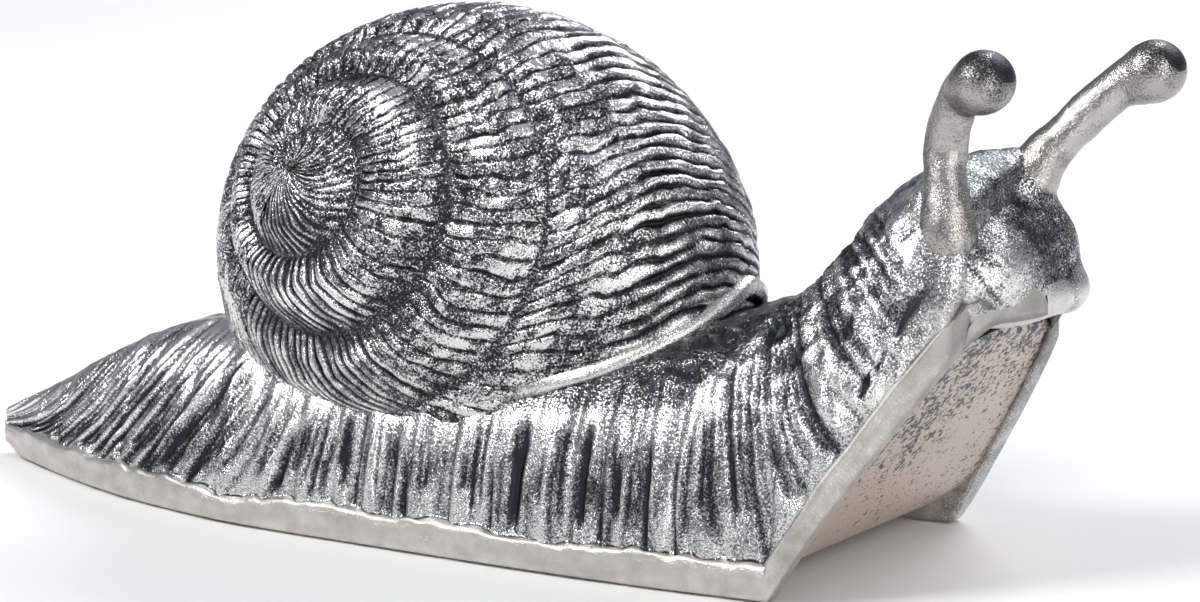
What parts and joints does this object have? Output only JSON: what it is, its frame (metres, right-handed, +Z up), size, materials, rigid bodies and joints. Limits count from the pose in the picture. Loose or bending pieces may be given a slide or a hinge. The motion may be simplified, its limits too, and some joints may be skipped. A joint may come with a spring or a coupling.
{
  "type": "snail ornament",
  "caption": "Cast aluminium snail ornament: hollow foot with fluted skirt, raised neck and head, bolted coiled shell, pinned eye stalks and an inset sole plate.",
  "frame": {"origin": "on the ground plane under the middle of the foot, at the underside of the felt", "axes": "+X forward to the head, +Y to the snail's left, +Z up"},
  "size_m": [0.2584, 0.0803, 0.1075],
  "materials": {
    "cast_body": "polished crests over dark patina in the flutes",
    "cast_shell": "polished ribs over dark patina in the grooves",
    "sole_metal": "plain ground casting with pits",
    "stalk_metal": "satin, polished at the tips",
    "steel": "plain zinc steel",
    "felt": "dense dark felt"
  },
  "bodies": {
    "root": {"body_casting": "cast_body", "shell_casting": "cast_shell", "sole_plate": "sole_metal", "right_eye_stalk": "stalk_metal", "left_eye_stalk": "stalk_metal", "stalk_pins": "steel", "shell_screws": "steel", "shell_screw_washers": "steel", "sole_screws": "steel", "felt_sole": "felt"}
  },
  "joints": []
}
